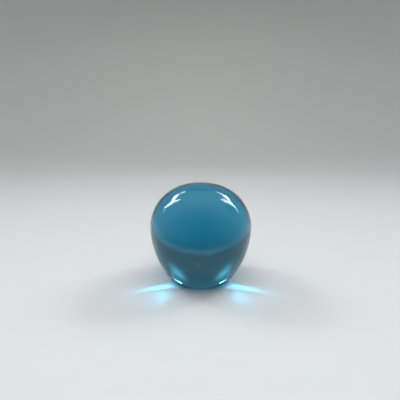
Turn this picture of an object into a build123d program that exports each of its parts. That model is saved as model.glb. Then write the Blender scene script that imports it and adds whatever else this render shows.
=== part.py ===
"""Solid glass ball paperweight: one cast piece of glass on a ground flat foot.

The frame's origin is the centre of the flat base, with +Z up along the ball's axis.
The ball is a solid of revolution. From the top down, its outline is a flattened crown,
tighter shoulders, a long flank that tapers in below the widest level, a small rounded
edge, and the flat base that it stands on.
"""

import os
from math import atan2, degrees, sqrt

from build123d import *

# Driving dimensions, in millimetres.
ball_diameter = 76.0  # width at the widest level
widest_level_height = 41.0  # height of the widest level above the base
crown_radius = 51.0  # flattened arc over the top, centred on the axis
shoulder_radius = 32.0  # tighter arc between the crown and the widest level
foot_diameter = 45.0  # width at which the flank reaches the base, before its edge is rounded
foot_edge_radius = 1.5  # rounding of that edge

# The crown arc and the shoulder arc share a tangent, so the line between their centres
# passes through the point where they meet.
shoulder_centre_x = ball_diameter / 2 - shoulder_radius
crown_centre_drop = sqrt((crown_radius - shoulder_radius) ** 2 - shoulder_centre_x**2)
crown_centre_height = widest_level_height - crown_centre_drop
crown_half_angle = degrees(atan2(shoulder_centre_x, crown_centre_drop))
shoulder_angle = 90 - crown_half_angle

os.makedirs("parts", exist_ok=True)

# Glass ball: half of the outline, turned once around the axis.
with BuildPart() as glass_ball:
    with BuildSketch(Plane.XZ) as half_outline:
        with BuildLine():
            crown = CenterArc((0, crown_centre_height), crown_radius, 90, -crown_half_angle)
            shoulder_centre = (shoulder_centre_x, widest_level_height)
            shoulder = CenterArc(shoulder_centre, shoulder_radius, shoulder_angle, -shoulder_angle)
            flank = TangentArc(shoulder @ 1, (foot_diameter / 2, 0), tangent=shoulder % 1)
            base = Line(flank @ 1, (0, 0))
            Line(base @ 1, crown @ 0)
        make_face()
        foot_corner = half_outline.vertices().group_by(Axis.Y)[0].sort_by(Axis.X)[-1]
        fillet(foot_corner, radius=foot_edge_radius)
    revolve(axis=Axis.Z)
glass_ball.part.label = "glass_ball"
export_step(glass_ball.part, "parts/glass_ball.step")
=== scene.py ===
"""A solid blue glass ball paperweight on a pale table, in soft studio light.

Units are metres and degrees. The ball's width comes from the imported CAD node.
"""

from math import asin, atan2, cos, pi, radians, sin, sqrt

import bmesh
import bpy
from mathutils import Matrix, Vector, noise


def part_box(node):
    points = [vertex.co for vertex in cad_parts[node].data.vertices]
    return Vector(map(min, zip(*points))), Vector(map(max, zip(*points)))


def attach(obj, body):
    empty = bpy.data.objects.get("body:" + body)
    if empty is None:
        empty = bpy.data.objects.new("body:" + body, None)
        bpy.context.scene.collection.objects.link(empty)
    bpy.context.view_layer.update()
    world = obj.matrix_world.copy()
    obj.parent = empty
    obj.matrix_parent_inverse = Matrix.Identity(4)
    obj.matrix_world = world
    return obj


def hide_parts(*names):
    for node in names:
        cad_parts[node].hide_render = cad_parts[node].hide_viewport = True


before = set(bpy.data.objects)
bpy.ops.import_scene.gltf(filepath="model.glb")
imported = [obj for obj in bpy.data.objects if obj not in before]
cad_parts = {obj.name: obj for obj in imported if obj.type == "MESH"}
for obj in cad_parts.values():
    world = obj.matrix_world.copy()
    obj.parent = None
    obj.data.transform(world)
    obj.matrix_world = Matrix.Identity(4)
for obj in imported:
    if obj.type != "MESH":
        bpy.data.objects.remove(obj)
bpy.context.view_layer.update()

# The ball's box gives its width. The rest of its outline repeats the CAD arcs.
low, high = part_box("glass_ball")
ball_radius = (high[0] - low[0]) / 2
widest_level = 0.041
crown_radius = 0.051
shoulder_radius = 0.032
foot_radius = 0.0225
foot_edge_radius = 0.0015

# The mesh: steps round the axis, and steps along each part of the outline.
turn_steps = 288
base_steps, edge_steps, flank_steps, shoulder_steps, crown_steps = 24, 14, 72, 72, 40

# Hand-made unevenness: the surface dips towards the centre by up to this share of its distance
# from it. The dips begin at the height wave_start and are full from wave_full up.
wave_depth = 0.0016
wave_length = 0.019
wave_start, wave_full = 0.004, 0.014

# Glass: the depth of colour is what a path of one ball radius takes out of red, green and blue.
glass_ior = 1.52
absorption_per_radius = (1.95, 0.68, 0.42)

# Its finish: faint haze in patches, wear on the foot up to its rounded edge, and a fine ripple.
haze_scale, haze_detail = 70.0, 6.0
haze_patches = (0.52, 0.72)
haze_roughness = 0.03
wear_level = 0.0001
wear_roughness = 0.12
ripple_scale, ripple_detail = 130.0, 2.0
ripple_strength, ripple_depth = 0.1, 0.0001

# Seed bubbles: (radius, height, distance from the axis, degrees round from the front).
seed_bubbles = (
    (0.00090, 0.0229, 0.0246, -5.1),
    (0.00060, 0.0244, 0.0250, -9.5),
    (0.00085, 0.0128, 0.0203, 3.1),
    (0.00070, 0.0046, 0.0153, -40.5),
)
bubble_subdivisions = 3

# Camera, from the centre of the widest level.
camera_distance = 8.5 * ball_radius
camera_elevation = 18.0
camera_lens = 38.3
camera_sensor = 36.0
aim_rise = 0.523 * ball_radius
aim_side = -0.015 * ball_radius

# The sweep: a round floor and wall. Through the glass its front half is seen as a second layer,
# which is whole and then gone at these shares of a direction that point to the back.
sweep_level = -0.0002
sweep_floor_radius = 0.42
sweep_bend_radius = 0.85
sweep_height = 1.3
floor_steps, bend_steps, half_turn_steps = 30, 24, 48
through_fade = (-0.85, -0.10)

# The tabletop that only the glass sees. Its edge is table_reach away in front, flares out within
# the front angle to each side, and stops just past the distance where the table has faded away.
table_level = -0.0001
table_reach = 2.73 * ball_radius
table_fade = (1.9 * ball_radius, 7.0 * ball_radius)
table_limit = 1.05 * table_fade[1]
table_front_angle = 100.0
table_widest_share = 0.999
table_flare = -0.55
table_turn_steps, table_steps = 361, 40

# Points of a stage sheet that are closer than this are one point.
merge_distance = 1e-6

# Pale paper, for the sweep and the table.
paper_roughness = 0.9
paper_gloss = 0.1
paper_tones = ((0.79, 0.80, 0.81, 1), (0.81, 0.82, 0.83, 1))
grain_scale, grain_detail = 60.0, 4.0

# The room's light: (position, level) steps from the front to the back, multiplied by steps from
# the horizon to straight up.
room_strength = 2.2
room_tint = (0.98, 1.0, 0.98)
room_levels = (
    (0.0, 0.02),
    (0.03, 0.03),
    (0.22, 0.24),
    (0.42, 0.42),
    (0.5, 0.58),
    (0.62, 0.50),
    (0.8, 0.36),
    (1.0, 0.33),
)
rise_levels = ((0.0, 0.30), (0.35, 0.34), (0.6, 0.45), (1.0, 0.70))

# Soft lights that only brighten the paper: (name, place, aim, size, power, colour).
soft_lights = (
    ("overhead", (0.0, -0.15, 0.55), (0.0, -0.15, 0.0), 0.5, 0.70, (0.98, 0.99, 1.0)),
    ("far_floor", (0.0, 0.65, 0.55), (0.0, 0.65, 0.0), 0.4, 0.28, (1.0, 0.99, 0.95)),
    ("backdrop", (0.0, 0.15, 0.95), (0.0, 1.15, 0.45), 0.4, 0.35, (1.0, 0.98, 0.80)),
)

# Two lamps behind the ball, to its left and right, mirror images of each other. Each is three
# sets of panels: one is mirrored, one shines through the glass, and one lights the paper. No two
# panels of a lamp are equally far out, because lights that lie in one plane hide each other.
lamp_distance = 1.15
set_spacing = 0.03
panel_spacing = 0.004
lamp_azimuth = 52.0
lamp_elevation = 42.0
lamp_spread = 66.0
lamp_aim = (0.0, -0.20, 0.0)
lamp_colour = (0.93, 0.98, 1.0)

# Panels, at unit distance: (name, power, towards the back, up, length, width, tilt).
mirrored_panels = (
    ("tall", 0.46, -0.12, -0.02, 0.58, 0.14, 73.0),
    ("wide", 0.26, 0.10, -0.03, 0.30, 0.14, 4.0),
    ("thin", 0.08, 0.27, 0.03, 0.34, 0.06, 12.0),
    ("tail", 0.04, -0.30, -0.34, 0.32, 0.08, 36.0),
)
through_panels = (
    ("tall", 0.56, -0.08, -0.02, 0.56, 0.12, 73.0),
    ("wide", 0.34, 0.19, -0.09, 0.36, 0.09, -17.0),
    ("glow_core", 0.0036, 0.60, -0.52, 0.18, 0.14, 60.0),
    ("glow_inner", 0.008, 0.60, -0.52, 0.30, 0.23, 60.0),
    ("glow_middle", 0.012, 0.60, -0.52, 0.42, 0.32, 60.0),
    ("glow_outer", 0.010, 0.60, -0.52, 0.56, 0.42, 60.0),
)
paper_panels = (
    ("tall", 0.42, -0.12, -0.02, 0.40, 0.12, 73.0),
    ("wide", 0.21, 0.08, -0.03, 0.26, 0.12, 4.0),
)
lamp_sets = (
    ("glossy", mirrored_panels),
    ("transmission", through_panels),
    ("diffuse", paper_panels),
)

# How often light may bounce. The glass needs many.
glass_bounces = 24
mirror_bounces = 16
paper_bounces = 4
caustic_softness = 0.08


def outline_points():
    """The ball's half outline as (radius, height), from the middle of the base to the top."""
    shoulder_centre = ball_radius - shoulder_radius
    crown_drop = sqrt((crown_radius - shoulder_radius) ** 2 - shoulder_centre ** 2)
    crown_start = pi / 2 - atan2(shoulder_centre, crown_drop)
    flank_inset = ball_radius - foot_radius
    flank_radius = (widest_level ** 2 + flank_inset ** 2) / (2 * flank_inset)
    flank_centre = ball_radius - flank_radius
    edge_angle = asin((widest_level - foot_edge_radius) / (flank_radius - foot_edge_radius))
    edge_centre = flank_centre + (flank_radius - foot_edge_radius) * cos(edge_angle)

    def arc(centre_x, centre_z, radius, start, end, steps):
        angles = [start + (end - start) * i / steps for i in range(steps + 1)]
        return [(centre_x + radius * cos(a), centre_z + radius * sin(a)) for a in angles]

    base = [(edge_centre * i / base_steps, 0.0) for i in range(base_steps)]
    edge = arc(edge_centre, foot_edge_radius, foot_edge_radius, -pi / 2, -edge_angle, edge_steps)
    flank = arc(flank_centre, widest_level, flank_radius, -edge_angle, 0, flank_steps)
    shoulder = arc(shoulder_centre, widest_level, shoulder_radius, 0, crown_start, shoulder_steps)
    crown = arc(0, widest_level - crown_drop, crown_radius, crown_start, pi / 2, crown_steps)
    return base + edge + flank[1:] + shoulder[1:] + crown[1:]


def turned_mesh(mesh, points, steps):
    """Adds a closed surface of revolution to a bmesh. The first and last points are on the axis."""
    rings = []
    for radius, height in points[1:-1]:
        angles = [2 * pi * i / steps for i in range(steps)]
        rings.append([mesh.verts.new((radius * cos(a), radius * sin(a), height)) for a in angles])
    bottom = mesh.verts.new((0, 0, points[0][1]))
    top = mesh.verts.new((0, 0, points[-1][1]))
    for i in range(steps):
        j = (i + 1) % steps
        mesh.faces.new((bottom, rings[0][j], rings[0][i]))
        mesh.faces.new((top, rings[-1][i], rings[-1][j]))
        for lower, upper in zip(rings, rings[1:]):
            mesh.faces.new((lower[i], lower[j], upper[j], upper[i]))


def uneven(place):
    """The hand-made surface: slow dips towards the centre, none at the foot."""
    centre = Vector((0, 0, widest_level))
    depth = wave_depth * (0.5 + 0.5 * noise.noise(place / wave_length))
    share = min(max((place.z - wave_start) / (wave_full - wave_start), 0.0), 1.0)
    return centre + (place - centre) * (1 - depth * share * share * (3 - 2 * share))


def add_bubble(mesh, radius, centre):
    """Adds a hollow: a small sphere whose faces point into it, away from the glass."""
    made = bmesh.ops.create_icosphere(mesh, subdivisions=bubble_subdivisions, radius=radius)
    bmesh.ops.translate(mesh, verts=made["verts"], vec=centre)
    faces = list({face for vert in made["verts"] for face in vert.link_faces})
    bmesh.ops.reverse_faces(mesh, faces=faces)


def smooth_object(name, mesh, material):
    """Makes a smoothly shaded object from a bmesh, and frees the bmesh."""
    data = bpy.data.meshes.new(name)
    mesh.to_mesh(data)
    mesh.free()
    for face in data.polygons:
        face.use_smooth = True
    data.materials.append(material)
    made = bpy.data.objects.new(name, data)
    bpy.context.collection.objects.link(made)
    return made


def make_ball(material):
    mesh = bmesh.new()
    turned_mesh(mesh, outline_points(), turn_steps)
    for vert in mesh.verts:
        vert.co = uneven(vert.co)
    for radius, height, distance, degrees_round in seed_bubbles:
        add_bubble(mesh, radius, around(radians(degrees_round), distance, height))
    return smooth_object("glass_ball_body", mesh, material)


def around(angle, radius, height):
    """A point at that angle from the front."""
    return Vector((radius * sin(angle), -radius * cos(angle), height))


def noise_node(nodes, scale, detail):
    made = nodes.new("ShaderNodeTexNoise")
    made.inputs["Scale"].default_value = scale
    made.inputs["Detail"].default_value = detail
    return made


def range_node(nodes, source, target):
    """A node that maps one range of values to another, and clamps at its ends."""
    made = nodes.new("ShaderNodeMapRange")
    made.inputs["From Min"].default_value, made.inputs["From Max"].default_value = source
    made.inputs["To Min"].default_value, made.inputs["To Max"].default_value = target
    return made


def fill_ramp(ramp, levels, tint):
    """Sets a new colour ramp to these (position, level) steps of a tint."""
    steps = ramp.color_ramp.elements
    steps.remove(steps[1])
    for i, (position, level) in enumerate(levels):
        step = steps[0] if i == 0 else steps.new(position)
        step.position = position
        step.color = (*(level * part for part in tint), 1)


def glass_material():
    material = bpy.data.materials.new("blue_glass_clear")
    material.use_nodes = True
    nodes, links = material.node_tree.nodes, material.node_tree.links
    surface = nodes["Principled BSDF"]
    surface.inputs["Base Color"].default_value = (1, 1, 1, 1)
    surface.inputs["Transmission Weight"].default_value = 1.0
    surface.inputs["IOR"].default_value = glass_ior

    place = nodes.new("ShaderNodeTexCoord").outputs["Object"]
    haze = noise_node(nodes, haze_scale, haze_detail)
    haze_level = range_node(nodes, haze_patches, (0.0, haze_roughness))
    height = nodes.new("ShaderNodeSeparateXYZ")
    wear = range_node(nodes, (wear_level, foot_edge_radius), (wear_roughness, 0.0))
    rougher = nodes.new("ShaderNodeMath")
    rougher.operation = "MAXIMUM"
    links.new(place, haze.inputs["Vector"])
    links.new(haze.outputs["Fac"], haze_level.inputs["Value"])
    links.new(place, height.inputs["Vector"])
    links.new(height.outputs["Z"], wear.inputs["Value"])
    links.new(haze_level.outputs["Result"], rougher.inputs[0])
    links.new(wear.outputs["Result"], rougher.inputs[1])
    links.new(rougher.outputs["Value"], surface.inputs["Roughness"])

    ripple = noise_node(nodes, ripple_scale, ripple_detail)
    relief = nodes.new("ShaderNodeBump")
    relief.inputs["Strength"].default_value = ripple_strength
    relief.inputs["Distance"].default_value = ripple_depth
    links.new(place, ripple.inputs["Vector"])
    links.new(ripple.outputs["Fac"], relief.inputs["Height"])
    links.new(relief.outputs["Normal"], surface.inputs["Normal"])

    strongest = max(absorption_per_radius)
    tint = [1 - amount / strongest for amount in absorption_per_radius]
    absorption = nodes.new("ShaderNodeVolumeAbsorption")
    absorption.inputs["Color"].default_value = (*tint, 1)
    absorption.inputs["Density"].default_value = strongest / ball_radius
    links.new(absorption.outputs["Volume"], nodes["Material Output"].inputs["Volume"])
    return material


def paper_material(name, fade=None, by_direction=False):
    """Pale paper. fade is where it is still whole and where it is gone: a distance from the
    ball or, by direction, the share of the direction that points to the back."""
    material = bpy.data.materials.new(name)
    material.use_nodes = True
    nodes, links = material.node_tree.nodes, material.node_tree.links
    surface = nodes["Principled BSDF"]
    surface.inputs["Roughness"].default_value = paper_roughness
    surface.inputs["Specular IOR Level"].default_value = paper_gloss
    place = nodes.new("ShaderNodeTexCoord").outputs["Object"]
    grain = noise_node(nodes, grain_scale, grain_detail)
    tone = nodes.new("ShaderNodeValToRGB")
    for step, colour in zip(tone.color_ramp.elements, paper_tones):
        step.color = colour
    links.new(place, grain.inputs["Vector"])
    links.new(grain.outputs["Fac"], tone.inputs["Fac"])
    links.new(tone.outputs["Color"], surface.inputs["Base Color"])
    if fade:
        measure = nodes.new("ShaderNodeVectorMath")
        measure.operation = "NORMALIZE" if by_direction else "LENGTH"
        links.new(place, measure.inputs[0])
        if by_direction:
            parts = nodes.new("ShaderNodeSeparateXYZ")
            links.new(measure.outputs["Vector"], parts.inputs["Vector"])
            amount = parts.outputs["Y"]
        else:
            amount = measure.outputs["Value"]
        solid = range_node(nodes, fade, (1.0, 0.0))
        links.new(amount, solid.inputs["Value"])
        links.new(solid.outputs["Result"], surface.inputs["Alpha"])
    return material


def seen_by(made, *kinds):
    """Limits a stage object or a light to these kinds of ray."""
    made.visible_camera = "camera" in kinds
    made.visible_diffuse = "diffuse" in kinds
    made.visible_glossy = "glossy" in kinds
    made.visible_transmission = "transmission" in kinds
    made.visible_volume_scatter = "diffuse" in kinds
    made.visible_shadow = False


def sheet(name, columns, material, closed=False):
    """A grid of points as one smooth stage sheet. columns holds equally long lists of points."""
    mesh = bmesh.new()
    rows = [[mesh.verts.new(point) for point in column] for column in columns]
    pairs = list(zip(rows, rows[1:]))
    if closed:
        pairs.append((rows[-1], rows[0]))
    for left, right in pairs:
        for k in range(len(left) - 1):
            mesh.faces.new((left[k], left[k + 1], right[k + 1], right[k]))
    bmesh.ops.remove_doubles(mesh, verts=mesh.verts, dist=merge_distance)
    bmesh.ops.recalc_face_normals(mesh, faces=mesh.faces)
    made = smooth_object(name, mesh, material)
    return made


def make_sweep(plain, fading):
    """The floor and the wall round it, in two halves. The glass mirrors only the back one. The
    front one has a second layer, which only light that passes through the glass sees."""
    floor = [(sweep_floor_radius * i / floor_steps, sweep_level) for i in range(floor_steps + 1)]
    wall = []
    for i in range(bend_steps + 1):
        turn = pi / 2 * i / bend_steps
        radius = sweep_floor_radius + sweep_bend_radius * sin(turn)
        wall.append((radius, sweep_bend_radius * (1 - cos(turn)) + sweep_level))
    wall.append((sweep_floor_radius + sweep_bend_radius, sweep_height))
    halves = (
        ("front", -90, plain, ("camera", "diffuse"), ("camera",)),
        ("front_through", -90, fading, ("transmission",), ("transmission",)),
        ("back", 90, plain, ("camera", "diffuse", "glossy"), ("camera", "diffuse", "glossy")),
    )
    for name, start, material, floor_kinds, wall_kinds in halves:
        angles = [radians(start + 180 * i / half_turn_steps) for i in range(half_turn_steps + 1)]
        columns = [[around(angle, r, z) for r, z in floor] for angle in angles]
        seen_by(sheet(f"studio_floor_{name}", columns, material), *floor_kinds)
        columns = [[around(angle, r, z) for r, z in wall] for angle in angles]
        seen_by(sheet(f"studio_wall_{name}", columns, material), *wall_kinds)


def make_table(material):
    """The tabletop. Its front edge is what the front of the ball mirrors."""
    columns = []
    for i in range(table_turn_steps):
        angle = -pi + 2 * pi * i / table_turn_steps
        share = min(abs(angle) / radians(table_front_angle), table_widest_share)
        reach = min(table_reach * (1 - share ** 2) ** table_flare, table_limit)
        distances = [reach * k / table_steps for k in range(table_steps + 1)]
        columns.append([around(angle, distance, table_level) for distance in distances])
    seen_by(sheet("studio_table", columns, material, closed=True), "glossy", "transmission")


def make_room():
    """Light from the room's back half. It falls off to the dark behind the camera."""
    world = bpy.data.worlds.new("studio_room")
    world.use_nodes = True
    nodes, links = world.node_tree.nodes, world.node_tree.links
    place = nodes.new("ShaderNodeTexCoord")
    direction = nodes.new("ShaderNodeSeparateXYZ")
    share = range_node(nodes, (-1.0, 1.0), (0.0, 1.0))
    room = nodes.new("ShaderNodeValToRGB")
    fill_ramp(room, room_levels, room_tint)
    rise = nodes.new("ShaderNodeValToRGB")
    fill_ramp(rise, rise_levels, (1, 1, 1))
    both = nodes.new("ShaderNodeVectorMath")
    both.operation = "MULTIPLY"
    links.new(place.outputs["Generated"], direction.inputs["Vector"])
    links.new(direction.outputs["Y"], share.inputs["Value"])
    links.new(share.outputs["Result"], room.inputs["Fac"])
    links.new(direction.outputs["Z"], rise.inputs["Fac"])
    links.new(room.outputs["Color"], both.inputs[0])
    links.new(rise.outputs["Color"], both.inputs[1])
    links.new(both.outputs["Vector"], nodes["Background"].inputs["Color"])
    nodes["Background"].inputs["Strength"].default_value = room_strength
    bpy.context.scene.world = world


def add_light(name, shape, size, power, colour, kind):
    """An area light that only one kind of ray sees."""
    light = bpy.data.lights.new(name, "AREA")
    light.shape = shape
    light.size = size
    light.energy = power
    light.color = colour
    lamp = bpy.data.objects.new(name, light)
    bpy.context.collection.objects.link(lamp)
    seen_by(lamp, kind)
    return lamp


def make_panel(name, kind, distance, side, power, towards_back, rise, length, width, tilt):
    """One panel of a lamp. towards_back and rise are its place in the lamp's plane."""
    azimuth, elevation = radians(lamp_azimuth), radians(lamp_elevation)
    out = Vector((cos(elevation) * sin(azimuth), cos(elevation) * cos(azimuth), sin(elevation)))
    back = Vector((-cos(azimuth), sin(azimuth), 0))
    up = out.cross(back)
    up = up if up.z > 0 else -up
    place = (out + back * towards_back + up * rise) * distance
    run = back * cos(radians(tilt)) + up * sin(radians(tilt))
    place, run = (Vector((side * v.x, v.y, v.z)) for v in (place, run))
    out = (place - Vector(lamp_aim)).normalized()
    across = out.cross(run).normalized()
    turn = Matrix((across.cross(out), across, out)).transposed()
    lamp = add_light(name, "ELLIPSE", length * distance, power, lamp_colour, kind)
    lamp.data.size_y = width * distance
    lamp.data.spread = radians(lamp_spread)
    lamp.matrix_world = Matrix.Translation(place + Vector((0, 0, widest_level))) @ turn.to_4x4()


def make_lights():
    for name, place, aim, size, power, colour in soft_lights:
        lamp = add_light(name, "DISK", size, power, colour, "diffuse")
        lamp.location = place
        lamp.rotation_euler = (Vector(aim) - Vector(place)).to_track_quat("-Z", "Y").to_euler()
    for side, name in ((-1, "left"), (1, "right")):
        for i, (kind, panels) in enumerate(lamp_sets):
            for k, (panel, *values) in enumerate(panels):
                distance = lamp_distance + set_spacing * i + panel_spacing * k
                make_panel(f"{name}_{kind}_{panel}", kind, distance, side, *values)


def make_camera():
    elevation = radians(camera_elevation)
    centre = Vector((0, 0, widest_level))
    place = centre + camera_distance * Vector((0, -cos(elevation), sin(elevation)))
    rise = Vector((0, sin(elevation), cos(elevation)))
    aim = centre + rise * aim_rise + Vector((aim_side, 0, 0))
    data = bpy.data.cameras.new("camera")
    data.sensor_width = camera_sensor
    data.lens = camera_lens
    camera = bpy.data.objects.new("camera", data)
    bpy.context.collection.objects.link(camera)
    camera.location = place
    camera.rotation_euler = (aim - place).to_track_quat("-Z", "Y").to_euler()
    bpy.context.scene.camera = camera


make_camera()
make_sweep(
    paper_material("studio_paper"),
    paper_material("studio_paper_fading", through_fade, by_direction=True),
)
make_table(paper_material("studio_tabletop", table_fade))
make_lights()
make_room()

ball = make_ball(glass_material())
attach(ball, "root")
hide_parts("glass_ball")

scene = bpy.context.scene
scene.view_settings.view_transform = "Standard"
scene.cycles.use_denoising = True
scene.cycles.max_bounces = glass_bounces
scene.cycles.transmission_bounces = glass_bounces
scene.cycles.glossy_bounces = mirror_bounces
scene.cycles.diffuse_bounces = paper_bounces
scene.cycles.sample_clamp_indirect = 0
scene.cycles.blur_glossy = caustic_softness
